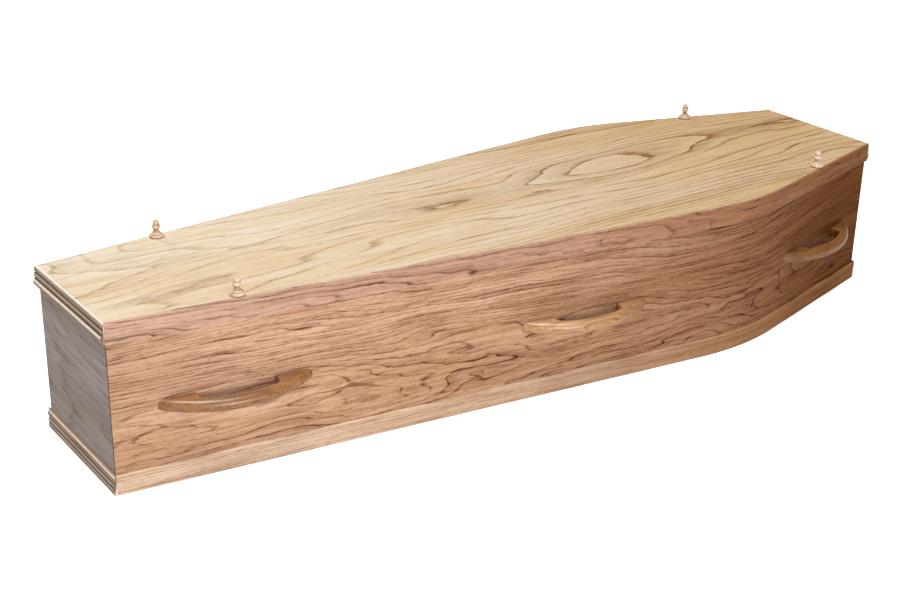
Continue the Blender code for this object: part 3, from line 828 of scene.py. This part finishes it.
for name, (height, thickness), past_end, top in (
    ("lid_strip", LID_STRIP, LID_OVERHANG, FULL_HEIGHT),
    ("base_strip", BASE_STRIP, 0.0, BASE_STRIP[0]),
):
    section = section_object(f"{name}_section", strip_section(height, thickness - GLUE_GAP))
    near_path = side_line(GLUE_GAP, past_end + SPARE)
    for side, path in (("left", near_path), ("right", mirrored(near_path)[::-1])):
        mesh = sweep(f"{name}_{side}", section, path, top - height, name.replace("_", " "))
        for direction in (-1, 1):
            cut_off(mesh, Vector((direction * (HALF_LENGTH + past_end), 0, 0)), Vector((direction, 0, 0)))
        fit(f"{name}_{side}_oak", mesh, f"{name}_oak", f"{name}_{side}")
    bpy.data.objects.remove(section, do_unlink=True)

# %% [markdown]
# The end moulding is one pattern with three beads: a small one at the flat edge, a middle one, and a large
# nosed one that rolls back to the board. At the base it lies flat edge down. At the lid the same pattern is
# turned over and leans outwards towards its lower edge, so its beads stand out by different amounts.

# %% End mouldings
MOULDING_HEIGHT = 0.043
SMALL_BEAD = 0.0118
MIDDLE_BEAD = 0.0094
GROOVE_WIDTH = 0.0010
GROOVE_DEPTH = 0.0026
NOSE_RISE = 0.0090
ROLL_FULLNESS = 0.8
BEAD_STEPS = 14
BASE_REACHES = (0.0057, 0.0056, 0.0054)
LID_REACHES = (0.0052, 0.0064, 0.0090)
WORN_AND_LIT_SHOULDER = math.radians(48)
RUBBED_NARROW = 12
DIRT_AND_SHADE_NARROW = 8
ROLL_NARROW = 4
BEAD_WEAR_AND_HIGHLIGHT = 0.6
ROLL_WEAR_AND_HIGHLIGHT = 0.8
EDGE_WEAR_AND_HIGHLIGHT = 0.9
END_PATH_HALF = 0.30


def bead(start, height, reach, lower_root, upper_root, up):
    """A rounded bead, pale on its up-facing shoulder (rubbing and painted highlight), dark at its roots
    (grime and painted shade).
    """
    points = []
    for step in range(BEAD_STEPS + 1):
        angle = math.pi * (step / BEAD_STEPS - 0.5)
        root = lower_root if angle < 0 else upper_root
        rubbed = max(math.cos(angle - up * WORN_AND_LIT_SHOULDER), 0.0) ** RUBBED_NARROW
        dirt_and_shade_mask = math.sin(angle) ** DIRT_AND_SHADE_NARROW
        points.append((root + (reach - root) * math.cos(angle), start + height * (1 + math.sin(angle)) / 2,
                       BEAD_WEAR_AND_HIGHLIGHT * rubbed - dirt_and_shade_mask))
    return points


def moulding_section(reaches, up):
    """Section of the end moulding as (out, level from the flat edge, wear); up is -1 for one turned over."""
    small, middle, nose = reaches
    first_groove = min(small, middle) - GROOVE_DEPTH
    second_groove = min(middle, nose) - GROOVE_DEPTH
    points = [(0, 0, EDGE_WEAR_AND_HIGHLIGHT)]
    points += bead(0, SMALL_BEAD, small, small - GROOVE_DEPTH, first_groove, up)
    # The flat edge beside the first bead is pale, not dark: worn, and at the lid a painted highlight
    for index in (1, 2):
        points[index] = (*points[index][:2], EDGE_WEAR_AND_HIGHLIGHT)
    middle_start = SMALL_BEAD + GROOVE_WIDTH
    points += bead(middle_start, MIDDLE_BEAD, middle, first_groove, second_groove, up)
    nose_start = middle_start + MIDDLE_BEAD + GROOVE_WIDTH
    for step in range(BEAD_STEPS + 1):
        angle = math.pi / 2 * step / BEAD_STEPS
        # At the lid the nose gets a pale shoulder: wear and a painted highlight
        rubbed = max(math.cos(angle - WORN_AND_LIT_SHOULDER), 0.0) ** RUBBED_NARROW if up < 0 else 0.0
        dirt_and_shade_mask = math.cos(angle) ** DIRT_AND_SHADE_NARROW
        points.append((second_groove + (nose - second_groove) * math.sin(angle),
                       nose_start + NOSE_RISE * (1 - math.cos(angle)), rubbed - dirt_and_shade_mask))
    roll_start = nose_start + NOSE_RISE
    for step in range(1, BEAD_STEPS + 1):
        share = step / BEAD_STEPS
        # At the base the roll faces up and goes pale: wear and a painted highlight
        rubbed = math.sin(math.pi * share) ** ROLL_NARROW if up > 0 else 0.0
        points.append((nose * max(math.cos(share * math.pi / 2), 0.0) ** ROLL_FULLNESS,
                       roll_start + (MOULDING_HEIGHT - roll_start) * share, ROLL_WEAR_AND_HIGHLIGHT * rubbed))
    return points


def end_path(direction, out):
    """The path across one end, with the outside of the box on its right hand."""
    x = direction * (HALF_LENGTH + out + GLUE_GAP)
    return [(x, -direction * END_PATH_HALF), (x, direction * END_PATH_HALF)]


for name, strip_thickness, out, up, level, reaches in (
    ("base_moulding", BASE_STRIP[1], 0.0, 1, 0.0, BASE_REACHES),
    ("lid_moulding", LID_STRIP[1], LID_OVERHANG, -1, FULL_HEIGHT, LID_REACHES),
):
    points = [(away, height * up, number) for away, height, number in moulding_section(reaches, up)]
    section = section_object(f"{name}_section", points)
    line = side_line(strip_thickness, 0)
    for end, direction, near, far in (("foot", -1, line[0], line[1]), ("head", 1, line[-2], line[-1])):
        mesh = sweep(f"{name}_{end}", section, end_path(direction, out), level, "moulding")
        run = (far - near).normalized()
        for side in (1, -1):
            cut_off(mesh, Vector((near.x, near.y * side, 0)), Vector((run.y, -run.x * side, 0)))
        fit(f"{name}_{end}_oak", mesh, "moulding_oak", f"{name}_{end}")
    bpy.data.objects.remove(section, do_unlink=True)

# %% [markdown]
# ## Bow handles
# Each handle is a crescent sawn from thick board, flat against the side, with a finger gap behind the grip
# and a full round nose in front. A bevel could round the nose, but at nearly half the thickness it runs out
# of room. So the handle is stacked from its plan at many levels: towards the top and the underside the front
# draws back and the gap opens, each along a quarter circle. The grip is rubbed round the gap, and the handle
# goes dark where it meets the side: a little dirt, and painted shade.

# %% One handle, level by level
HANDLE_SPAN = 0.298
HANDLE_REACH = 0.0594
HANDLE_THICKNESS = 0.0250
HANDLE_LEVEL = 0.1575
GRIP_DEPTH = 0.0200
FINGER_GAP = 0.152
GAP_CORNER = 0.016
NOSE_ROUND = 0.0120
GAP_ROUND = 0.0045
NOSE_STEPS = 10
CORNER_STEPS = 8
ARC_STEPS = 48
GAP_STEPS = 24
# The tips and cheeks against the side go dark, as dirt and painted shade; the grip is rubbed
TIP_DIRT_AND_SHADE, CHEEK_DIRT_AND_SHADE, GRIP_WEAR = -0.7, -0.9, 0.6


def drawn_back(level, reach):
    """How far a face with a quarter-round arris has drawn back at a level above the middle."""
    into = max(abs(level) - (HANDLE_THICKNESS / 2 - reach), 0.0)
    return reach - math.sqrt(max(reach ** 2 - into ** 2, 0.0))


def handle_plan(level):
    """Plan at one level as (x, y, wear): X along the side, -Y away from it, the back on y = 0."""
    half = HANDLE_SPAN / 2
    radius = (half ** 2 + HANDLE_REACH ** 2) / (2 * HANDLE_REACH)
    centre_y = radius - HANDLE_REACH
    outer = radius - drawn_back(level, NOSE_ROUND)
    opened = drawn_back(level, GAP_ROUND)
    end_angle = math.acos(centre_y / outer)
    points = []
    for step in range(ARC_STEPS + 1):
        angle = end_angle * (2 * step / ARC_STEPS - 1)
        at_wall = TIP_DIRT_AND_SHADE if step in (0, ARC_STEPS) else 0.0
        points.append((outer * math.sin(angle), centre_y - outer * math.cos(angle), at_wall))
    inner = radius - GRIP_DEPTH
    corner_x = FINGER_GAP / 2 - GAP_CORNER
    corner_angle = math.asin(corner_x / (inner - GAP_CORNER))
    corner_y = centre_y - (inner - GAP_CORNER) * math.cos(corner_angle)
    rubbed = GRIP_WEAR * min(opened / GAP_ROUND * 2, 1.0)
    reach = GAP_CORNER + opened
    cheek = [(FINGER_GAP / 2 + opened, 0.0, CHEEK_DIRT_AND_SHADE)]
    for step in range(CORNER_STEPS + 1):
        angle = math.pi / 2 - (math.pi / 2 - corner_angle) * step / CORNER_STEPS
        cheek.append((corner_x + reach * math.sin(angle), corner_y - reach * math.cos(angle), rubbed))
    points += cheek
    grip = inner + opened
    for step in range(1, GAP_STEPS):
        angle = corner_angle * (1 - 2 * step / GAP_STEPS)
        points.append((grip * math.sin(angle), centre_y - grip * math.cos(angle), rubbed))
    points += [(-x, y, number) for x, y, number in reversed(cheek)]
    return points


def shape_handle():
    """One finished handle on the bench, closed with a flat top and underside."""
    straight = HANDLE_THICKNESS / 2 - NOSE_ROUND
    turns = [math.pi / 2 * step / NOSE_STEPS for step in range(NOSE_STEPS + 1)]
    upper = [straight + NOSE_ROUND * math.sin(turn) for turn in turns]
    work = bmesh.new()
    wear = work.verts.layers.float.new("wear")
    rows = []
    for level in [-height for height in reversed(upper)] + upper:
        row = []
        for x, y, number in handle_plan(level):
            vert = work.verts.new((x, y, level))
            vert[wear] = number
            row.append(vert)
        rows.append(row)
    around = len(rows[0])
    for lower, higher in zip(rows, rows[1:]):
        for step in range(around):
            after = (step + 1) % around
            work.faces.new((lower[step], lower[after], higher[after], higher[step]))
    work.faces.new(rows[0])
    work.faces.new(rows[-1])
    mesh = bpy.data.meshes.new("bow_handle")
    close_mesh(work, mesh)
    return mesh


handle = shape_handle()
print("one handle:", len(handle.polygons), "faces")

# %% [markdown]
# The copies could be linked duplicates, but instances on points say it better: each point is a place on the
# box and carries its own turn. The tree first stores every point's place on the pattern, and then the number
# of each copy, so the grain follows each piece and no two are alike. It makes the copies real at the end, so
# that they leave as one plain mesh.

# %% The setting-out tree
def make_setting_tree():
    """Points in, a copy of the pattern on each of them out."""
    tree, takes, gives = new_group(
        "copies_on_points", "GeometryNodeTree",
        (("Points", SHAPE, None), ("Pattern", OBJECT, None), ("Size", FLOAT, 1.0), ("Finish", FINISH, None)),
        (("Copies", SHAPE),),
    )
    turn = put(tree, "GeometryNodeInputNamedAttribute", {"Name": "turn"}, data_type="FLOAT").outputs[0]
    turning = put(tree, "ShaderNodeCombineXYZ", {2: turn}).outputs[0]
    pattern = put(tree, "GeometryNodeObjectInfo", {"Object": takes["Pattern"]}).outputs["Geometry"]
    place = put(tree, "GeometryNodeInputPosition").outputs[0]
    kept = put(tree, "GeometryNodeStoreNamedAttribute", {
        "Geometry": pattern, "Name": "own_place", "Value": place,
    }, data_type="FLOAT_VECTOR", domain="POINT").outputs[0]
    copies = put(tree, "GeometryNodeInstanceOnPoints", {
        "Points": takes["Points"], "Instance": kept, "Rotation": turning, "Scale": takes["Size"],
    }).outputs[0]
    number = put(tree, "GeometryNodeInputIndex").outputs[0]
    numbered = put(tree, "GeometryNodeStoreNamedAttribute", {
        "Geometry": copies, "Name": "copy_number", "Value": number,
    }, data_type="FLOAT", domain="INSTANCE").outputs[0]
    give_out(tree, numbered, takes["Finish"], gives["Copies"])
    return tree


def set_out(name, pattern_mesh, places, finish):
    """Copies of a pattern at (place, turn) pairs, as one plain mesh."""
    pattern = add_object(f"{name}_pattern", pattern_mesh)
    points = bpy.data.meshes.new(name)
    points.from_pydata([place for place, _ in places], [], [])
    turns = points.attributes.new("turn", "FLOAT", "POINT")
    for item, (_, turn) in zip(turns.data, places):
        item.value = turn
    mesh = run_tree(name, points, setting_tree, {"Pattern": pattern, "Finish": finishes[finish]})
    bpy.data.objects.remove(pattern, do_unlink=True)
    return mesh


setting_tree = make_setting_tree()
print("setting-out tree:", len(setting_tree.nodes), "nodes")

# %% [markdown]
# A maker measures the handles off along the straight runs of the side, three to a side and all at one height.
# The seat of each is found on the near side, a glue line clear of the panel, and the far one is its mirror.

# %% Set out the handles
HANDLES_ALONG = {"foot": -0.717, "waist": 0.028, "head": 0.734}


def on_side(x):
    """The point of the near panel face at x, and the angle of the straight run there."""
    start, end = (FOOT, SHOULDER) if x < SHOULDER.x else (SHOULDER, HEAD)
    run = (end - start).normalized()
    return start + run * ((x - start.x) / run.x), math.atan2(run.y, run.x)


places, nodes = [], []
for end, x in HANDLES_ALONG.items():
    face, angle = on_side(x)
    seat = face + Vector((math.sin(angle), -math.cos(angle))) * GLUE_GAP
    places += [((seat.x, seat.y, HANDLE_LEVEL), angle), ((seat.x, -seat.y, HANDLE_LEVEL), math.pi - angle)]
    nodes += [f"handle_{end}_left", f"handle_{end}_right"]
fit("bow_handles", set_out("bow_handles", handle, places, "handle"), "handle_oak", *nodes)

# %% [markdown]
# ## Turned finials
# Four small finials stand near the corners of the lid: an undercut disc, a hollow cone, a neck, a collar and
# a dome. A lathe makes a shape from half a section, and so does spinning the section in code. The same
# setting-out tree then places the four, each turned differently so that its grain faces another way.

# %% Turn and set out the finials
FINIAL_HEIGHT = 0.0362
DISC_RADIUS, DISC_HEIGHT, UNDERCUT = 0.0146, 0.0064, 0.0015
CONE_RADIUS, CONE_TOP, CONE_HOLLOW = 0.0110, 0.0140, 1.6
NECK_RADIUS = 0.0056
COLLAR_RADIUS, COLLAR_BOTTOM, COLLAR_HEIGHT = 0.0088, 0.0190, 0.0052
DOME_ROOT, DOME_RADIUS, DOME_SPRING = 0.0062, 0.0067, 0.0268
DOME_STEPS, COLLAR_STEPS, CONE_STEPS, RIM_STEPS = 11, 10, 8, 9
DOME_TOP_WEAR, DOME_WEAR, COLLAR_WEAR, RIM_WEAR = 0.3, 0.2, 0.5, 0.4
# The neck, the dome's root, the cone's foot and the undercut go dark: grime and mostly painted shade
NECK_DIRT_AND_SHADE, DOME_ROOT_DIRT_AND_SHADE, CONE_FOOT_DIRT_AND_SHADE, UNDERCUT_DIRT_AND_SHADE = -0.6, -0.8, -0.7, -1.0
TURNING_STEPS = 48
SEAM_WELD = 0.00002
FINIAL_CRISP_FROM = 50
FINIAL_TURN = 0.9
FINIALS = (("foot", -0.7047, 0.0110), ("head", 0.7229, 0.0100))


def arc_points(centre_radius, centre_height, reach, rise, start, end, steps, number):
    """Points on an oval arc of the section, as (radius, height, wear)."""
    points = []
    for step in range(steps + 1):
        angle = math.radians(start + (end - start) * step / steps)
        away, up = reach * math.cos(angle), rise * math.sin(angle)
        points.append((centre_radius + away, centre_height + up, number))
    return points


def finial_section():
    """Half section from the top of the dome down to the middle of the foot."""
    dome_rise = FINIAL_HEIGHT - DOME_SPRING
    collar_half = COLLAR_HEIGHT / 2
    root = (COLLAR_RADIUS + NECK_RADIUS) / 2
    rim = DISC_HEIGHT / 2
    points = [(0.0, FINIAL_HEIGHT, DOME_TOP_WEAR)]
    points += arc_points(0, DOME_SPRING, DOME_RADIUS, dome_rise, 84, 0, DOME_STEPS, DOME_WEAR)
    points.append((DOME_ROOT, (COLLAR_BOTTOM + COLLAR_HEIGHT + DOME_SPRING) / 2, DOME_ROOT_DIRT_AND_SHADE))
    points += arc_points(root, COLLAR_BOTTOM + collar_half, COLLAR_RADIUS - root, collar_half, 85, -85,
                         COLLAR_STEPS, COLLAR_WEAR)
    points.append((NECK_RADIUS, (COLLAR_BOTTOM + CONE_TOP) / 2, NECK_DIRT_AND_SHADE))
    for step in range(CONE_STEPS + 1):
        share = step / CONE_STEPS
        points.append((NECK_RADIUS + (CONE_RADIUS - NECK_RADIUS) * share ** CONE_HOLLOW,
                       CONE_TOP + (DISC_HEIGHT + UNDERCUT / 2 - CONE_TOP) * share, 0.0))
    points.append((CONE_RADIUS - UNDERCUT / 2, DISC_HEIGHT, CONE_FOOT_DIRT_AND_SHADE))
    points += arc_points(DISC_RADIUS - rim / 2, rim, rim / 2, rim, 80, -40, RIM_STEPS, RIM_WEAR)
    points += [(DISC_RADIUS - rim / 2 - UNDERCUT, 0.0, UNDERCUT_DIRT_AND_SHADE), (0.0, 0.0, 0.0)]
    return points


def turn_finial():
    """Spin the half section once round and weld the seam and the poles."""
    section = finial_section()
    work = bmesh.new()
    wear = work.verts.layers.float.new("wear")
    verts = []
    for radius, height, number in section:
        vert = work.verts.new((radius, 0, height))
        vert[wear] = number
        verts.append(vert)
    edges = [work.edges.new(pair) for pair in zip(verts, verts[1:])]
    bmesh.ops.spin(work, geom=verts + edges, cent=(0, 0, 0), axis=(0, 0, 1), dvec=(0, 0, 0),
                   angle=math.tau, steps=TURNING_STEPS, use_merge=False, use_duplicate=False)
    bmesh.ops.remove_doubles(work, verts=work.verts, dist=SEAM_WELD)
    mesh = bpy.data.meshes.new("turned_finial")
    close_mesh(work, mesh, FINIAL_CRISP_FROM)
    return mesh


places, nodes = [], []
for end, x, inset in FINIALS:
    face, angle = on_side(x)
    seat = face + Vector((-math.sin(angle), math.cos(angle))) * inset
    for side, y in (("left", seat.y), ("right", -seat.y)):
        places.append(((seat.x, y, FULL_HEIGHT + GLUE_GAP), FINIAL_TURN * len(places)))
        nodes.append(f"finial_{end}_{side}")
fit("turned_finials", set_out("turned_finials", turn_finial(), places, "finial"), "finial_wood", *nodes)

# %% [markdown]
# ## Floor and light
# The photograph is a catalogue picture on a burnt-out white ground: the lid is brightest, the near side is
# evenly lit, and the foot end is in shade. A pale floor stands in for the ground, and it glows faintly, for
# the camera alone, so that it comes out white too. A wide soft light overhead serves the lid and a low wide
# panel the near side. A small one behind keeps the far side from going black, and the surroundings only fill
# the shadows.

# %% Floor and lights
FLOOR_HALF = 14.0
FLOOR_DROP = 0.0006
FLOOR_TONE = (1.0, 1.0, 1.0)
FLOOR_BOUNCE = (0.74, 0.72, 0.71)
FLOOR_GLOW = 0.6
FILL_STRENGTH = 0.09
OVERHEAD_FROM = (-0.12, -0.03, 1.0)
OVERHEAD_SPREAD = 30.0
OVERHEAD_STRENGTH = 3.25
NEAR_LIGHT = {
    "place": (-0.85, -3.4, 0.80), "aim": (-0.25, 0.0, 0.2), "width": 1.5, "height": 0.9, "power": 80.0,
    "tint": (1.0, 0.97, 0.94),
}
FAR_LIGHT = {
    "place": (-1.0, 3.2, 1.6), "aim": (-0.2, 0.0, 0.3), "width": 0.9, "height": 0.9, "power": 40.0,
    "tint": (1.0, 0.98, 0.96),
}


def make_floor():
    """A wide pale floor just under the box."""
    mesh = bpy.data.meshes.new("pale_floor")
    corners = [(-1, -1), (1, -1), (1, 1), (-1, 1)]
    mesh.from_pydata([(x * FLOOR_HALF, y * FLOOR_HALF, -FLOOR_DROP) for x, y in corners], [], [(0, 1, 2, 3)])
    floor = add_object("pale_floor", mesh)
    paint = bpy.data.materials.new("pale_floor")
    paint.use_nodes = True
    shader = paint.node_tree.nodes["Principled BSDF"]
    seen = put(paint.node_tree, "ShaderNodeLightPath").outputs["Is Camera Ray"]
    tone = blend(paint.node_tree, seen, FLOOR_BOUNCE, FLOOR_TONE)
    paint.node_tree.links.new(tone, shader.inputs["Base Color"])
    shader.inputs["Roughness"].default_value = 0.9
    shader.inputs["Specular IOR Level"].default_value = 0.1
    shader.inputs["Emission Color"].default_value = (1.0, 1.0, 1.0, 1.0)
    glow = sum_up(paint.node_tree, "MULTIPLY", seen, FLOOR_GLOW)
    paint.node_tree.links.new(glow, shader.inputs["Emission Strength"])
    mesh.materials.append(paint)


def soft_light(name, place, aim, width, height, power, tint):
    """A soft light panel aimed at a point."""
    lamp = bpy.data.lights.new(name, "AREA")
    lamp.shape = "RECTANGLE"
    lamp.size = width
    lamp.size_y = height
    lamp.energy = power
    lamp.color = tint
    holder = add_object(name, lamp)
    holder.location = place
    holder.rotation_euler = (Vector(aim) - Vector(place)).to_track_quat("-Z", "Y").to_euler()


def overhead_light(toward, spread, strength):
    """One even soft light from high up, the same all over the floor."""
    lamp = bpy.data.lights.new("overhead_light", "SUN")
    lamp.angle = math.radians(spread)
    lamp.energy = strength
    holder = add_object("overhead_light", lamp)
    holder.rotation_euler = Vector(toward).to_track_quat("Z", "Y").to_euler()


def light_surroundings():
    """Even pale light from all round; the camera itself sees plain white."""
    world = bpy.data.worlds.new("pale_room")
    world.use_nodes = True
    tree = world.node_tree
    room = tree.nodes["Background"]
    room.inputs["Color"].default_value = (1.0, 1.0, 1.0, 1.0)
    seen = put(tree, "ShaderNodeLightPath").outputs["Is Camera Ray"]
    strength = sum_up(tree, "MULTIPLY_ADD", seen, 1.0 - FILL_STRENGTH, FILL_STRENGTH)
    tree.links.new(strength, room.inputs["Strength"])
    bpy.context.scene.world = world


make_floor()
light_surroundings()
overhead_light(OVERHEAD_FROM, OVERHEAD_SPREAD, OVERHEAD_STRENGTH)
soft_light("near_light", **NEAR_LIGHT)
soft_light("far_light", **FAR_LIGHT)
bpy.context.scene.view_settings.view_transform = "Standard"
print("floor and lights placed")
